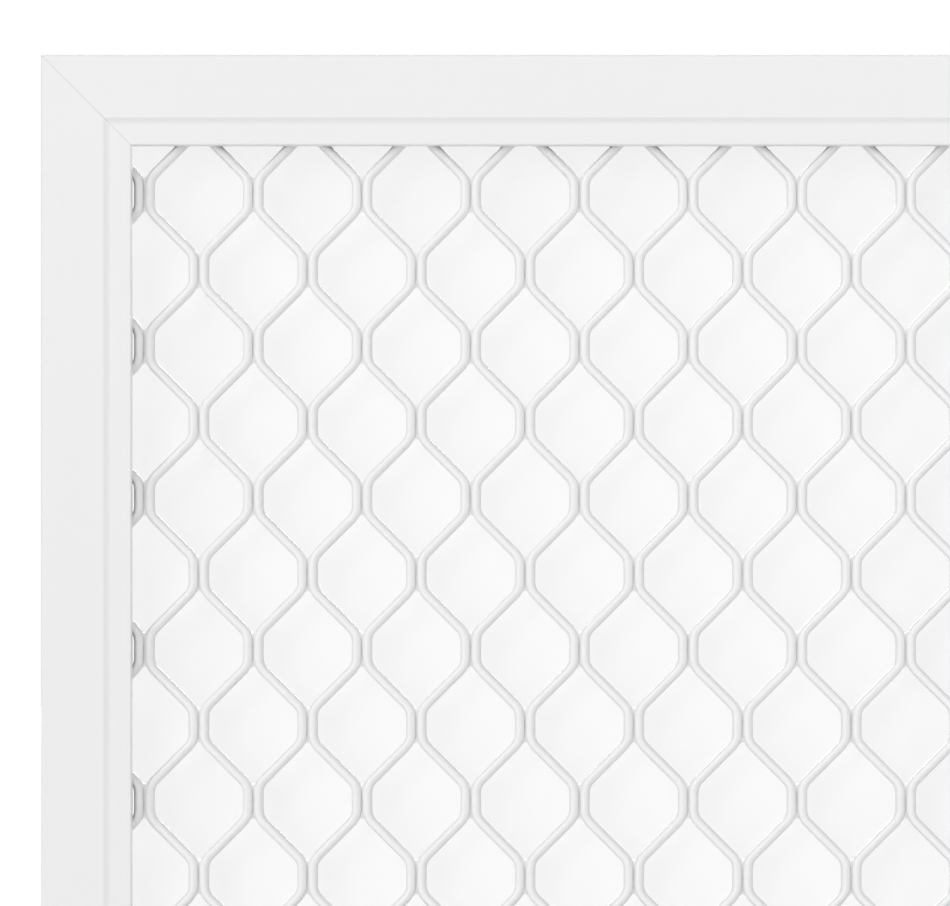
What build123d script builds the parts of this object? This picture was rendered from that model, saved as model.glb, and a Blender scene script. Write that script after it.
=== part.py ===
from build123d import *
import os
from math import ceil, cos, floor, radians, sin, tan

# An aluminium window security screen: a mitred frame of hollow extrusion round a diamond grille.
# It stands upright, with X along its width, Z up and its front facing -Y. All sizes are in mm.
# The origin is the middle of the back face, which goes against the window frame.

# Overall size
SCREEN_WIDTH = 512.0
SCREEN_HEIGHT = 480.0

# Frame extrusion: a hollow box, with a stepped lip before the grille's edge and a leg behind it
BOX_WIDTH = 31.2
LIP_WIDTH = 13.8
LIP_STEP = 1.3
LIP_RETURN = 12.4
RAMP_WIDTH = 2.4
RAMP_RADIUS = 4.0
LEG_WIDTH = 12.8
LEG_RECESS = 1.4
FRAME_WALL = 1.6
EDGE_RADIUS = 1.0
MITRE_GAP = 0.15

# Diamond grille: one ribbed sheet, slit and expanded, so that neighbouring strands share knuckles
PITCH_X = 54.5
PITCH_Z = 76.0
STRAND_WIDTH = 5.0
STRAND_DEPTH = 7.0
STRAND_ANGLE = 45.0
BEND_RADIUS = 9.0
CROWN_WIDTH = 1.4
CROWN_DEPTH = 1.8
KNUCKLE_GAP = 0.9
WEB_LENGTH = 17.0
GROOVE_DEPTH = 4.0

# How the grille lies in the frame: the first knuckle is set from the opening's top left corner
FIRST_COLUMN = 5.8
FIRST_ROW = 24.0
GRILLE_ENGAGEMENT = 8.0
GRILLE_CLEARANCE = 0.3

# Corner stakes: L-shaped keys that join the extrusions inside their chambers
STAKE_ARM = 62.0
STAKE_CLEARANCE = 0.15
STAKE_TIP = 3.0
CRIMP_FROM_TIP = 14.0
CRIMP_WIDTH = 6.0
CRIMP_DEPTH = 2.0

# Fixing holes in the back wall of the jambs
FIXING_RADIUS = 2.1
FIXING_INSET = 110.0

# Places that follow from the sizes above
FACE_WIDTH = BOX_WIDTH + LIP_WIDTH
OPENING_WIDTH = SCREEN_WIDTH - 2 * FACE_WIDTH
OPENING_HEIGHT = SCREEN_HEIGHT - 2 * FACE_WIDTH
LEG_BACK_Y = -LEG_RECESS
GRILLE_BACK_Y = LEG_BACK_Y - FRAME_WALL
LIP_RETURN_Y = GRILLE_BACK_Y - STRAND_DEPTH - GRILLE_CLEARANCE
LIP_FRONT_Y = LIP_RETURN_Y - LIP_RETURN
FRONT_Y = LIP_FRONT_Y - LIP_STEP
FRAME_DEPTH = -FRONT_Y
COLUMN_STEP = PITCH_X / 2
ROW_STEP = PITCH_Z / 2
COLUMN_ZERO = FIRST_COLUMN - OPENING_WIDTH / 2
ROW_ZERO = OPENING_HEIGHT / 2 - FIRST_ROW


def section_bar(y_front, y_back, inset_from, inset_to):
    """A rectangle of the frame's section, in depth Y and in inset from the outer edge."""
    bar = Rectangle(y_back - y_front, inset_to - inset_from)
    return Pos((y_front + y_back) / 2, -(inset_from + inset_to) / 2) * bar


def frame_section():
    """The extrusion's section, with its outer edge at Z = 0 and the opening below."""
    box = section_bar(FRONT_Y, 0, 0, BOX_WIDTH)
    chamber = section_bar(FRONT_Y + FRAME_WALL, -FRAME_WALL, FRAME_WALL, BOX_WIDTH - FRAME_WALL)
    lip = section_bar(LIP_FRONT_Y, LIP_FRONT_Y + FRAME_WALL, BOX_WIDTH, FACE_WIDTH)
    lip_return = section_bar(LIP_FRONT_Y, LIP_RETURN_Y, FACE_WIDTH - FRAME_WALL, FACE_WIDTH)
    leg = section_bar(GRILLE_BACK_Y, LEG_BACK_Y, BOX_WIDTH, BOX_WIDTH + LEG_WIDTH)
    ramp_top = (FRONT_Y, -BOX_WIDTH)
    ramp_foot = (LIP_FRONT_Y, -BOX_WIDTH - RAMP_WIDTH)
    ramp = make_face(Polyline(ramp_top, ramp_foot, (LIP_FRONT_Y, -BOX_WIDTH), close=True))
    section = box - chamber + lip + lip_return + leg + ramp
    outer_edge = (FRONT_Y, 0)
    lip_edge = (LIP_FRONT_Y, -FACE_WIDTH)
    for corner in [outer_edge, ramp_top, lip_edge]:
        section = fillet(section.vertices().sort_by_distance(corner)[0], EDGE_RADIUS)
    return fillet(section.vertices().sort_by_distance(ramp_foot)[0], RAMP_RADIUS)


def rail(length):
    """A mitred length of the extrusion along X, with its outer edge at Z = 0."""
    bar = extrude(Plane.YZ * frame_section(), length / 2, both=True)
    outer = length / 2 - MITRE_GAP / 2
    inner = outer - FACE_WIDTH
    face = Polyline((-outer, 0), (outer, 0), (inner, -FACE_WIDTH), (-inner, -FACE_WIDTH), close=True)
    return bar & extrude(Plane.XZ * make_face(face), 2 * FRAME_DEPTH, both=True)


def fixing_hole(x, z):
    """A pilot hole through the back wall of a jamb's chamber."""
    depth = 1.5 * FRAME_WALL
    return Pos(x, -depth / 2, z) * Rot(90, 0, 0) * Cylinder(FIXING_RADIUS, depth)


def corner_stake():
    """The key of the top left corner, with the frame's outer corner at the origin."""
    near = FRAME_WALL + STAKE_CLEARANCE
    far = BOX_WIDTH - near
    tip = near + STAKE_ARM
    arm = Pos((near + tip) / 2, -(near + far) / 2) * Rectangle(STAKE_ARM, far - near)
    arm = chamfer(arm.vertices().group_by(Axis.X)[-1], STAKE_TIP)
    arm -= Pos(tip - CRIMP_FROM_TIP, -far) * Rectangle(CRIMP_WIDTH, 2 * CRIMP_DEPTH)
    down_arm = mirror(arm, Plane((0, 0, 0), x_dir=(0, 0, 1), z_dir=(1, 1, 0)))
    front_of_stake = Plane((0, -near, 0), x_dir=(1, 0, 0), z_dir=(0, -1, 0))
    return extrude(front_of_stake * (arm + down_arm), FRAME_DEPTH - 2 * near)


def strand_route(first_row, last_row):
    """Centre line of an even strand, in X and Z about its own middle.

    The strand runs straight down each knuckle and leans across to the next one, left and right
    in turn. Each bend is cut by one flat, which touches the bend's arc at its middle.
    """
    lean_angle = radians(STRAND_ANGLE)
    lean = COLUMN_STEP - KNUCKLE_GAP - STRAND_WIDTH
    straight = ROW_STEP - lean / tan(lean_angle)
    cut = BEND_RADIUS * (tan(lean_angle / 2) - tan(lean_angle / 4))
    knuckle_z = straight / 2 - cut
    lean_z = straight / 2 + cut * cos(lean_angle)
    points = []
    for row in range(first_row, last_row + 1):
        side = 1 if row % 2 else -1
        knuckle_x = side * lean / 2
        lean_x = knuckle_x - side * cut * sin(lean_angle)
        z = -row * ROW_STEP
        points += [(lean_x, z + lean_z), (knuckle_x, z + knuckle_z)]
        points += [(knuckle_x, z - knuckle_z), (lean_x, z - lean_z)]
    return points


def strand(first_row, last_row):
    """One strand of the grille: flat behind, with straight flanks and a crowned front."""
    route = Polyline(*[(x, GRILLE_BACK_Y, z) for x, z in strand_route(first_row, last_row)])
    half = STRAND_WIDTH / 2
    crown = half - CROWN_WIDTH
    shoulder = STRAND_DEPTH - CROWN_DEPTH
    back_and_flank = [(-half, 0), (half, 0), (half, shoulder)]
    front_and_flank = [(crown, STRAND_DEPTH), (-crown, STRAND_DEPTH), (-half, shoulder)]
    section = make_face(Polyline(*back_and_flank, *front_and_flank, close=True))
    along = route % 0
    start = Plane(route @ 0, x_dir=Vector(0, -1, 0).cross(along), z_dir=along)
    return sweep(start * section, path=route, transition=Transition.RIGHT)


def knuckle_web():
    """The uncut metal between two strands at a knuckle, which leaves a groove in front."""
    depth = STRAND_DEPTH - GROOVE_DEPTH
    return Pos(0, GRILLE_BACK_Y - depth / 2, 0) * Box(KNUCKLE_GAP + STRAND_WIDTH, depth, WEB_LENGTH)


def diamond_grille():
    """All strands, joined at their knuckles and cut off straight inside the frame's pockets."""
    first_column = -ceil((FIRST_COLUMN + GRILLE_ENGAGEMENT) / COLUMN_STEP)
    last_column = floor((OPENING_WIDTH + GRILLE_ENGAGEMENT - FIRST_COLUMN) / COLUMN_STEP)
    first_row = -ceil((FIRST_ROW + GRILLE_ENGAGEMENT) / ROW_STEP)
    last_row = ceil((OPENING_HEIGHT + GRILLE_ENGAGEMENT - FIRST_ROW) / ROW_STEP)
    even_strand = strand(first_row - 1, last_row + 2)
    web = knuckle_web()
    pieces = []
    for column in range(first_column, last_column + 1):
        column_x = COLUMN_ZERO + column * COLUMN_STEP
        odd = column % 2
        pieces.append(Pos(column_x + COLUMN_STEP / 2, 0, ROW_ZERO + odd * ROW_STEP) * even_strand)
        for row in range(first_row, last_row + 1):
            if row % 2 == odd:
                pieces.append(Pos(column_x, 0, ROW_ZERO - row * ROW_STEP) * web)
    width = OPENING_WIDTH + 2 * GRILLE_ENGAGEMENT
    height = OPENING_HEIGHT + 2 * GRILLE_ENGAGEMENT
    sheet = Pos(0, GRILLE_BACK_Y, 0) * Box(width, 4 * STRAND_DEPTH, height)
    # The saw frees a scrap where it leaves the end of a side strand without its knuckle.
    return ((Part() + pieces) & sheet).solids().sort_by(SortBy.VOLUME)[-1]


nodes = {}
nodes["head_rail"] = Pos(0, 0, SCREEN_HEIGHT / 2) * rail(SCREEN_WIDTH)
nodes["sill_rail"] = Pos(0, 0, -SCREEN_HEIGHT / 2) * Rot(0, 180, 0) * rail(SCREEN_WIDTH)

fixing_x = SCREEN_WIDTH / 2 - BOX_WIDTH / 2
fixing_z = SCREEN_HEIGHT / 2 - FIXING_INSET
for name, side in [("left_jamb", -1), ("right_jamb", 1)]:
    jamb = Pos(side * SCREEN_WIDTH / 2, 0, 0) * Rot(0, side * 90, 0) * rail(SCREEN_HEIGHT)
    nodes[name] = jamb - [fixing_hole(side * fixing_x, z) for z in (-fixing_z, fixing_z)]

corners = [("top_left", -1, 1), ("top_right", 1, 1), ("bottom_right", 1, -1), ("bottom_left", -1, -1)]
for quarter, (name, side_x, side_z) in enumerate(corners):
    corner = Pos(side_x * SCREEN_WIDTH / 2, 0, side_z * SCREEN_HEIGHT / 2)
    nodes["corner_stake_" + name] = corner * Rot(0, 90 * quarter, 0) * corner_stake()

nodes["diamond_grille"] = diamond_grille()

os.makedirs("parts", exist_ok=True)
for name, piece in nodes.items():
    export_step(piece, f"parts/{name}.step")
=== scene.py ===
from math import cos, pi, radians, sin, sqrt, tan

import bmesh
import bpy
from mathutils import Matrix, Vector


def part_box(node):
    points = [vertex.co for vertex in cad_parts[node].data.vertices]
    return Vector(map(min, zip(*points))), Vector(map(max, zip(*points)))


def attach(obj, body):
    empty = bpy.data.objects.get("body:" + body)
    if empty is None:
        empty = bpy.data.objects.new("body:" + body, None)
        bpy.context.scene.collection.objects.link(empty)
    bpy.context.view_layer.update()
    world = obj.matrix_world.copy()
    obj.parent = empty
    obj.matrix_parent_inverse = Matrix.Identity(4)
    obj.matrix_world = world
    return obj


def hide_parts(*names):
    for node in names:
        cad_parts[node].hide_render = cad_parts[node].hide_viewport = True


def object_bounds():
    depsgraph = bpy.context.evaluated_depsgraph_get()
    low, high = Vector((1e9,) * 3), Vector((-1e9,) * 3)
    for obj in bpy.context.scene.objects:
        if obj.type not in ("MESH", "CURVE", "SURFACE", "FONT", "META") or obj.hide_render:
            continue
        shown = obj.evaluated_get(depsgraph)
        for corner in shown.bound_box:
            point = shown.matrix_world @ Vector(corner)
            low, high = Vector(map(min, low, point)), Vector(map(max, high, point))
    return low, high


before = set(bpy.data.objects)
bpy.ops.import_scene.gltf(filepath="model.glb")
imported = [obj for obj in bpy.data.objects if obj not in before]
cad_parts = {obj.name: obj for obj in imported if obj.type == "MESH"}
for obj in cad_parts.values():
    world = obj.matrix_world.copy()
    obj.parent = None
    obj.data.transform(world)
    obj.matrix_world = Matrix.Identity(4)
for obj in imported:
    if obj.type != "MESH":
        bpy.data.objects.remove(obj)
cad_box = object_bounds()


# Frame: head rail, sill rail and two jambs
# Four lengths of hollow aluminium extrusion, sawn to mitres and powder coated satin white. The die
# leaves fine lines along each length, which the coat nearly hides under its slight orange peel.
class Wire:
    """One output of a shader node. Arithmetic on it adds Math nodes to its node tree."""

    def __init__(self, tree, socket=None):
        self.tree = tree
        self.socket = socket

    def node(self, kind, settings, inputs, output=0):
        """Adds a node: its settings first, then the values or links of its sockets."""
        made = self.tree.nodes.new(kind)
        for name, value in settings.items():
            setattr(made, name, value)
        for name, value in inputs.items():
            if isinstance(value, Wire):
                self.tree.links.new(value.socket, made.inputs[name])
            else:
                made.inputs[name].default_value = value
        return Wire(self.tree, made.outputs[output] if made.outputs else None)

    def maths(self, operation, first, second):
        return self.node("ShaderNodeMath", {"operation": operation}, {0: first, 1: second})

    def __add__(self, other):
        return self.maths("ADD", self, other)

    def __radd__(self, other):
        return self.maths("ADD", other, self)

    def __sub__(self, other):
        return self.maths("SUBTRACT", self, other)

    def __rsub__(self, other):
        return self.maths("SUBTRACT", other, self)

    def __mul__(self, other):
        return self.maths("MULTIPLY", self, other)

    def __rmul__(self, other):
        return self.maths("MULTIPLY", other, self)


def new_material(name):
    """An empty material and a wire to start its nodes from."""
    material = bpy.data.materials.new(name)
    material.use_nodes = True
    material.node_tree.nodes.clear()
    return material, Wire(material.node_tree)


grain_height = 0.00003


def powder_coat(name, pale, dull, line_scale):
    """Satin powder coat. line_scale is small along the metal's die lines and large across them."""
    peel_scale = 560.0
    cloud_scale = 9.0
    material, start = new_material(name)
    place = start.node("ShaderNodeTexCoord", {}, {}, "Object")
    peel = start.node("ShaderNodeTexNoise", {}, {"Vector": place, "Scale": peel_scale, "Detail": 1.0})
    cloud = start.node("ShaderNodeTexNoise", {}, {"Vector": place, "Scale": cloud_scale, "Detail": 2.0})
    stretched = start.node("ShaderNodeMapping", {}, {"Vector": place, "Scale": line_scale})
    line = start.node("ShaderNodeTexNoise", {}, {"Vector": stretched, "Scale": 1.0, "Detail": 2.0})
    tone = 0.6 * cloud + 0.4 * line
    colour = start.node("ShaderNodeMix", {"data_type": "RGBA"}, {0: tone, 6: dull, 7: pale}, 2)
    roughness = 0.36 + 0.1 * peel + 0.06 * cloud
    relief = peel + 0.35 * line
    grain = start.node("ShaderNodeBump", {}, {"Height": relief, "Strength": 0.35, "Distance": grain_height})
    coat = {"Base Color": colour, "Roughness": roughness, "Normal": grain, "Specular IOR Level": 0.45}
    surface = start.node("ShaderNodeBsdfPrincipled", {}, coat)
    start.node("ShaderNodeOutputMaterial", {}, {"Surface": surface})
    return material


def give_finish(piece, material):
    """Puts one material on the whole piece."""
    piece.data.materials.clear()
    piece.data.materials.append(material)


frame_pale = (0.88, 0.88, 0.88, 1.0)
frame_dull = (0.84, 0.84, 0.84, 1.0)
along_x = (4.0, 700.0, 700.0)
along_z = (700.0, 700.0, 4.0)
rail_coat = powder_coat("rail_white_coat", frame_pale, frame_dull, along_x)
jamb_coat = powder_coat("jamb_white_coat", frame_pale, frame_dull, along_z)
for rail in ("head_rail", "sill_rail"):
    give_finish(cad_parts[rail], rail_coat)
for jamb in ("left_jamb", "right_jamb"):
    give_finish(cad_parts[jamb], jamb_coat)


# Corner stakes
# L-shaped keys of bare mill aluminium, sawn off an extruded bar. They are pushed into the chambers of
# two lengths of the frame and crimped there, so they pull each mitre shut.
def mill_metal(name):
    """Bare extruded aluminium with fine drawn lines through its depth."""
    bright = (0.80, 0.81, 0.82, 1.0)
    grey = (0.66, 0.67, 0.69, 1.0)
    along_y = (900.0, 20.0, 900.0)
    cloud_scale = 60.0
    material, start = new_material(name)
    place = start.node("ShaderNodeTexCoord", {}, {}, "Object")
    stretched = start.node("ShaderNodeMapping", {}, {"Vector": place, "Scale": along_y})
    line = start.node("ShaderNodeTexNoise", {}, {"Vector": stretched, "Scale": 1.0, "Detail": 3.0})
    cloud = start.node("ShaderNodeTexNoise", {}, {"Vector": place, "Scale": cloud_scale, "Detail": 2.0})
    tone = 0.5 * line + 0.5 * cloud
    colour = start.node("ShaderNodeMix", {"data_type": "RGBA"}, {0: tone, 6: grey, 7: bright}, 2)
    grain = start.node("ShaderNodeBump", {}, {"Height": line, "Strength": 0.3, "Distance": grain_height})
    metal = {"Base Color": colour, "Roughness": 0.3 + 0.2 * line, "Metallic": 1.0, "Normal": grain}
    surface = start.node("ShaderNodeBsdfPrincipled", {}, metal)
    start.node("ShaderNodeOutputMaterial", {}, {"Surface": surface})
    return material


stake_metal = mill_metal("stake_mill_aluminium")
for corner in ("top_left", "top_right", "bottom_right", "bottom_left"):
    give_finish(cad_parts["corner_stake_" + corner], stake_metal)


# Diamond grille
# A ribbed aluminium sheet is slit between its ribs and pulled open, so the ribs become strands with a
# round front that stay joined at knuckles. It is coated white in one piece, with its edges in the
# frame's pockets.
column_step = 0.02725
row_step = 0.038
first_column_x = -0.2052
first_row_z = 0.171
first_column = -1
last_column = 15
first_row = -1
last_row = 10
# The corners of a strand's section are front left, front right, back left and back right.
strand_half = 0.0024
crown_stretch = 1.35
corner_radii = (0.0017, 0.003, 0.0003, 0.0003)
corner_segments = (5, 6, 2, 2)
strand_offset = 0.00275
lean_angle = radians(45.0)
bend_radius = 0.009
bend_steps = 4
web_half = 0.0013
web_end = 0.0085
web_cuts = 5
web_recess = 0.0001
crotch_radius = 0.00135
groove_depth = 0.0038
weld_distance = 0.000001
strand_crease = radians(40.0)
sheet_low, sheet_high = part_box("diamond_grille")
strand_depth = sheet_high.y - sheet_low.y
strand_middle_y = (sheet_low.y + sheet_high.y) / 2
lean = column_step - 2 * strand_offset
bend_tangent = bend_radius * tan(lean_angle / 2)
straight = row_step - lean / tan(lean_angle) - 2 * bend_tangent
lean_run = lean / sin(lean_angle) - 2 * bend_tangent


def loop_of(geometry):
    """The edges among what an operator has returned."""
    return [part for part in geometry if isinstance(part, bmesh.types.BMEdge)]


def verts_of(geometry):
    """The vertices among what an operator has returned."""
    return [part for part in geometry if isinstance(part, bmesh.types.BMVert)]


def run_straight(mesh, loop, step):
    """Extrudes a loop of edges by a step and returns the loop at its end."""
    grown = bmesh.ops.extrude_edge_only(mesh, edges=loop)["geom"]
    bmesh.ops.translate(mesh, verts=verts_of(grown), vec=step)
    return loop_of(grown)


def run_bend(mesh, loop, centre, angle):
    """Spins a loop of edges about an axis from front to back and returns the loop at its end."""
    turned = bmesh.ops.spin(
        mesh, geom=loop, cent=centre, axis=(0, 1, 0), angle=angle, steps=bend_steps)
    return loop_of(turned["geom_last"])


def strand_section(mesh, x, z):
    """The outline of a strand: a round front that leans a little left, and a flat back with eased edges.

    Its corners are rounded on a shallower outline, which is then stretched in depth.
    """
    made = bmesh.ops.create_grid(mesh, x_segments=1, y_segments=1, size=0.5)["verts"]
    bmesh.ops.scale(mesh, verts=made, vec=(2 * strand_half, strand_depth / crown_stretch, 1))
    made.sort(key=lambda corner: (corner.co.y, corner.co.x))
    for corner, radius, segments in zip(made, corner_radii, corner_segments):
        bmesh.ops.bevel(mesh, geom=[corner], offset=radius, offset_type="OFFSET", affect="VERTICES",
                        segments=segments, profile=0.5, material=-1)
    bmesh.ops.delete(mesh, geom=mesh.faces[:], context="FACES_ONLY")
    bmesh.ops.scale(mesh, verts=mesh.verts[:], vec=(1, crown_stretch, 1))
    bmesh.ops.translate(mesh, verts=mesh.verts[:], vec=(x, strand_middle_y, z))
    return mesh.edges[:]


def strand(mesh, top_row, bottom_row):
    """One strand from top to bottom, about its own middle, which leans right and left in turn."""
    x = -lean / 2 if top_row % 2 == 0 else lean / 2
    z = -top_row * row_step
    loop = strand_section(mesh, x, z)
    loop = run_straight(mesh, loop, (0, 0, -straight / 2))
    for row in range(top_row, bottom_row):
        turn = 1 if row % 2 == 0 else -1
        leave_z = -row * row_step - straight / 2
        arrive_z = -(row + 1) * row_step + straight / 2
        loop = run_bend(mesh, loop, (turn * (bend_radius - lean / 2), 0, leave_z), -turn * lean_angle)
        loop = run_straight(mesh, loop, (turn * lean_run * sin(lean_angle), 0, -lean_run * cos(lean_angle)))
        loop = run_bend(mesh, loop, (turn * (lean / 2 - bend_radius), 0, arrive_z), turn * lean_angle)
        loop = run_straight(mesh, loop, (0, 0, -straight))


def knuckle_web(mesh):
    """The uncut metal between two strands: lower than they are in front, hollowed out at both ends."""
    bmesh.ops.create_cube(mesh, size=1.0)
    across = [edge for edge in mesh.edges if abs(edge.verts[0].co.x - edge.verts[1].co.x) > 0.5]
    bmesh.ops.subdivide_edges(mesh, edges=across, cuts=web_cuts, use_grid_fill=True)
    web_depth = strand_depth - groove_depth - web_recess
    web_middle_y = sheet_high.y - web_recess - web_depth / 2
    bmesh.ops.scale(mesh, verts=mesh.verts[:], vec=(2 * web_half, web_depth, 2 * web_end))
    bmesh.ops.translate(mesh, verts=mesh.verts[:], vec=(0, web_middle_y, 0))
    for corner in mesh.verts:
        hollow = crotch_radius - sqrt(crotch_radius ** 2 - corner.co.x ** 2)
        corner.co.z += hollow if corner.co.z > 0 else -hollow


def copy_into(mesh, part, x, z):
    """Adds a copy of a part to a mesh, moved to a place in the plane of the screen."""
    part.transform(Matrix.Translation((x, 0, z)))
    data = bpy.data.meshes.new("copy")
    part.to_mesh(data)
    mesh.from_mesh(data)
    bpy.data.meshes.remove(data)
    part.transform(Matrix.Translation((-x, 0, -z)))


def saw_off(mesh, place, outward):
    """Cuts the mesh off at a plane and closes the sawn ends."""
    everything = mesh.verts[:] + mesh.edges[:] + mesh.faces[:]
    sawn = bmesh.ops.bisect_plane(
        mesh, geom=everything, dist=weld_distance, plane_co=place, plane_no=outward, clear_outer=True)
    bmesh.ops.holes_fill(mesh, edges=loop_of(sawn["geom_cut"]), sides=0)


def new_piece(name, mesh, material, crease):
    """Makes a finished mesh an object of the part, smooth up to the crease angle."""
    bmesh.ops.recalc_face_normals(mesh, faces=mesh.faces[:])
    data = bpy.data.meshes.new(name)
    mesh.to_mesh(data)
    mesh.free()
    data.shade_smooth()
    data.set_sharp_from_angle(angle=crease)
    data.materials.append(material)
    piece = bpy.data.objects.new(name, data)
    bpy.context.scene.collection.objects.link(piece)
    return piece


one_strand = bmesh.new()
strand(one_strand, first_row - 1, last_row + 2)
one_web = bmesh.new()
knuckle_web(one_web)
grille_mesh = bmesh.new()
for column in range(first_column, last_column + 1):
    column_x = first_column_x + column * column_step
    odd = column % 2
    copy_into(grille_mesh, one_strand, column_x + column_step / 2, first_row_z + odd * row_step)
    for row in range(first_row, last_row + 1):
        if row % 2 == odd:
            copy_into(grille_mesh, one_web, column_x, first_row_z - row * row_step)
one_strand.free()
one_web.free()
for low_or_high, outward in ((sheet_low, -1), (sheet_high, 1)):
    saw_off(grille_mesh, low_or_high, (outward, 0, 0))
    saw_off(grille_mesh, low_or_high, (0, 0, outward))
grille_pale = (0.93, 0.93, 0.93, 1.0)
grille_dull = (0.89, 0.89, 0.89, 1.0)
no_lines = (60.0, 60.0, 60.0)
grille_coat = powder_coat("grille_white_coat", grille_pale, grille_dull, no_lines)
grille = new_piece("grille", grille_mesh, grille_coat, strand_crease)
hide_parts("diamond_grille")
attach(grille, "root")


# Rivets
# Blind rivets of coated aluminium hold the grille's edge to the leg behind it, two to a side. Each has a
# domed head with a small hole, in which the end of its broken pin sits.
# The profile gives radius and height above the leg, from the rim to the middle.
rivet_profile = (
    (0.0032, -0.0001),
    (0.0032, 0.00025),
    (0.0029, 0.0006),
    (0.0022, 0.0009),
    (0.0013, 0.00105),
    (0.00105, 0.001),
    (0.00095, 0.0006),
    (0.0, 0.0006),
)
rivet_steps = 24
rivet_crease = radians(50.0)
rivet_inset = 0.04025
leg_back_y = -0.0014
rivet_x = cad_box[1].x - rivet_inset
rivet_z = cad_box[1].z - rivet_inset
rivet_places = (
    (-rivet_x, 0.1117),
    (-rivet_x, -0.1163),
    (rivet_x, 0.1163),
    (rivet_x, -0.1117),
    (-0.0723, rivet_z),
    (0.0995, rivet_z),
    (-0.0913, -rivet_z),
    (0.1185, -rivet_z),
)
rivet_mesh = bmesh.new()
corners = [rivet_mesh.verts.new((radius, leg_back_y + height, 0)) for radius, height in rivet_profile]
outline = [rivet_mesh.edges.new(pair) for pair in zip(corners, corners[1:])]
bmesh.ops.spin(rivet_mesh, geom=corners + outline, cent=(0, 0, 0), axis=(0, 1, 0), angle=2 * pi,
               steps=rivet_steps, use_merge=True)
bmesh.ops.remove_doubles(rivet_mesh, verts=rivet_mesh.verts[:], dist=weld_distance)
open_rim = [edge for edge in rivet_mesh.edges if edge.is_boundary]
bmesh.ops.holes_fill(rivet_mesh, edges=open_rim, sides=0)
all_rivets = bmesh.new()
for x, z in rivet_places:
    copy_into(all_rivets, rivet_mesh, x, z)
rivet_mesh.free()
rivet_coat = powder_coat("rivet_white_coat", frame_pale, frame_dull, no_lines)
rivets = new_piece("rivets", all_rivets, rivet_coat, rivet_crease)
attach(rivets, "root")


# Floor and backdrop
# A pale floor under the screen, and a pale board a little behind its opening that is seen only from the
# front and takes the soft shadow of the frame and the grille.
def in_view(start):
    """1 for a ray that comes straight from the camera, or through a mirror or glass, and otherwise 0."""
    seen = start.node("ShaderNodeLightPath", {}, {}, "Is Camera Ray")
    mirrored = start.node("ShaderNodeLightPath", {}, {}, "Is Glossy Ray")
    passed = start.node("ShaderNodeLightPath", {}, {}, "Is Transmission Ray")
    return start.maths("MAXIMUM", seen, start.maths("MAXIMUM", mirrored, passed))


def plain_sheet(name, width, height, turn, place, material):
    """A flat rectangle that belongs to the studio."""
    mesh = bmesh.new()
    bmesh.ops.create_grid(mesh, x_segments=1, y_segments=1, size=0.5)
    bmesh.ops.scale(mesh, verts=mesh.verts[:], vec=(width, height, 1))
    bmesh.ops.transform(mesh, verts=mesh.verts[:], matrix=Matrix.Translation(place) @ turn)
    data = bpy.data.meshes.new(name)
    mesh.to_mesh(data)
    mesh.free()
    data.materials.append(material)
    sheet = bpy.data.objects.new(name, data)
    bpy.context.scene.collection.objects.link(sheet)
    return sheet


white = (1.0, 1.0, 1.0, 1.0)
floor_colour = (0.85, 0.85, 0.85, 1.0)
floor_glow = 0.53
floor_size = 8.0
floor_paint, start = new_material("studio_floor")
pale = start.node("ShaderNodeBsdfDiffuse", {}, {"Color": floor_colour})
glow = start.node("ShaderNodeEmission", {}, {"Color": white, "Strength": floor_glow})
lit = start.node("ShaderNodeAddShader", {}, {0: pale, 1: glow})
surface = start.node("ShaderNodeMixShader", {}, {0: in_view(start), 1: pale, 2: lit})
start.node("ShaderNodeOutputMaterial", {}, {"Surface": surface})
plain_sheet("floor", floor_size, floor_size, Matrix.Identity(4), (0, 0, cad_box[0].z), floor_paint)

board_colour = (0.3, 0.3, 0.3, 1.0)
board_glow = 0.67
board_margin = 0.034
board_y = 0.035
board_paint, start = new_material("studio_board")
matt = start.node("ShaderNodeBsdfDiffuse", {}, {"Color": board_colour})
glow = start.node("ShaderNodeEmission", {}, {"Color": white, "Strength": board_glow})
lit = start.node("ShaderNodeAddShader", {}, {0: matt, 1: glow})
clear = start.node("ShaderNodeBsdfTransparent", {}, {})
behind = start.node("ShaderNodeNewGeometry", {}, {}, "Backfacing")
surface = start.node("ShaderNodeMixShader", {}, {0: behind, 1: lit, 2: clear})
start.node("ShaderNodeOutputMaterial", {}, {"Surface": surface})
screen_size = cad_box[1] - cad_box[0]
upright = Matrix.Rotation(radians(90.0), 4, "X")
board = plain_sheet(
    "board", screen_size.x - 2 * board_margin, screen_size.z - 2 * board_margin, upright, (0, board_y, 0),
    board_paint)
board.visible_diffuse = False
board.visible_glossy = False
board.visible_transmission = False
board.visible_shadow = False


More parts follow.
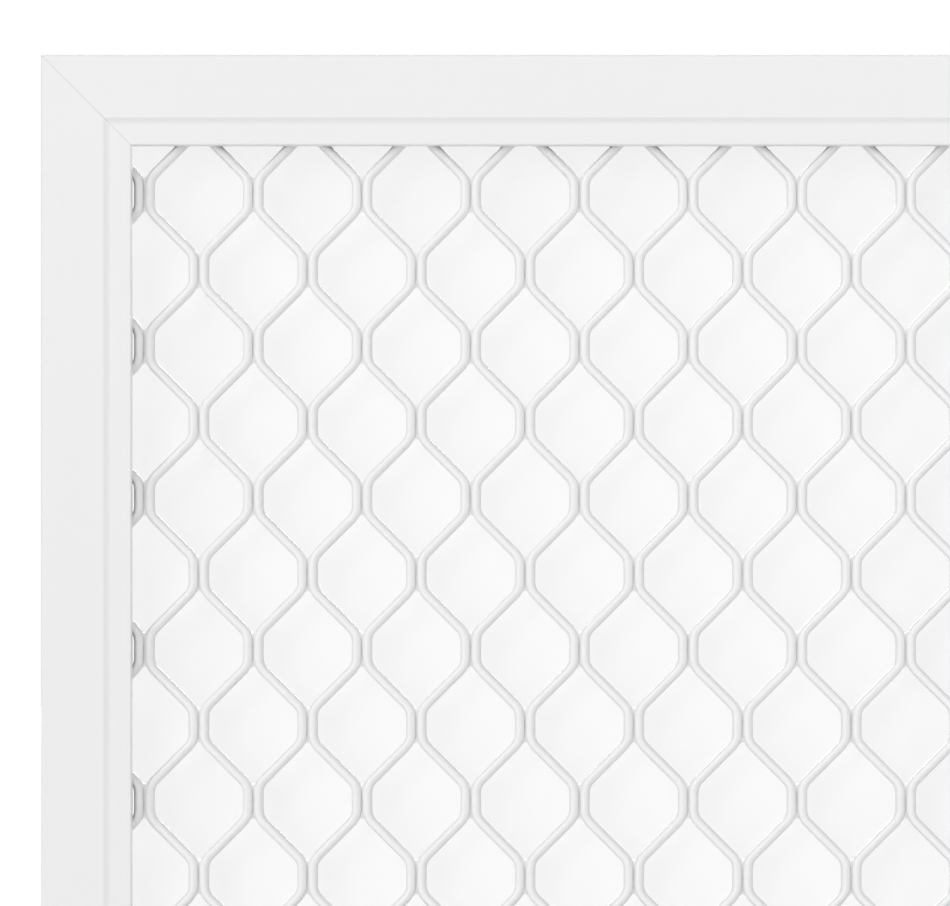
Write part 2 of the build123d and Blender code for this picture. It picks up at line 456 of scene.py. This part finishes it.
# Studio light
# A soft light from all round that is stronger in front, a large lamp in front, one high on the left that
# gives the shadows, a weaker one on the right that fills them, and one behind.
front_light = 0.49
back_light = 0.25
blend_half = 0.3
world = bpy.data.worlds.new("studio")
bpy.context.scene.world = world
world.use_nodes = True
world.node_tree.nodes.clear()
start = Wire(world.node_tree)
direction = start.node("ShaderNodeTexCoord", {}, {}, "Generated")
depth = start.node("ShaderNodeSeparateXYZ", {}, {"Vector": direction}, "Y")
span = {
    "Value": depth,
    "From Min": -blend_half,
    "From Max": blend_half,
    "To Min": front_light,
    "To Max": back_light,
}
soft_light = start.node("ShaderNodeMapRange", {"interpolation_type": "SMOOTHSTEP"}, span)
strength = soft_light + in_view(start) * (1.0 - soft_light)
sky = start.node("ShaderNodeBackground", {}, {"Color": white, "Strength": strength})
start.node("ShaderNodeOutputWorld", {}, {"Surface": sky})


def lamp(name, left, up, distance, size, level):
    """A square soft lamp that faces the screen, turned left of the front and up by degrees.

    Its level is the brightness that it adds to a white surface that faces it.
    """
    flat_run = cos(radians(up))
    away = Vector((-sin(radians(left)) * flat_run, -cos(radians(left)) * flat_run, sin(radians(up))))
    data = bpy.data.lights.new(name, "AREA")
    data.shape = "SQUARE"
    data.size = size
    data.energy = level * (pi * distance) ** 2
    made = bpy.data.objects.new(name, data)
    made.location = away * distance
    made.rotation_euler = away.to_track_quat("Z", "Y").to_euler()
    made.visible_camera = False
    bpy.context.scene.collection.objects.link(made)


lamp("front_lamp", left=15.0, up=8.0, distance=12.0, size=3.6, level=0.21)
lamp("side_lamp", left=48.0, up=30.0, distance=6.0, size=2.5, level=0.2)
lamp("fill_lamp", left=-35.0, up=15.0, distance=2.5, size=1.0, level=0.15)
lamp("back_lamp", left=180.0, up=15.0, distance=6.0, size=2.0, level=0.5)


# Camera
# It stands straight in front of the screen with a long lens, level with the middle of the picture.
picture_width = 0.4756
camera_x = -0.0396
camera_z = 0.04155
camera_data = bpy.data.cameras.new("camera")
camera_data.lens = 250.0
camera_data.sensor_width = 36.0
camera = bpy.data.objects.new("camera", camera_data)
camera_distance = picture_width * camera_data.lens / camera_data.sensor_width
camera.location = (camera_x, sheet_low.y - camera_distance, camera_z)
camera.rotation_euler = (radians(90.0), 0, 0)
bpy.context.scene.collection.objects.link(camera)
bpy.context.scene.camera = camera
bpy.context.scene.view_settings.view_transform = "Standard"
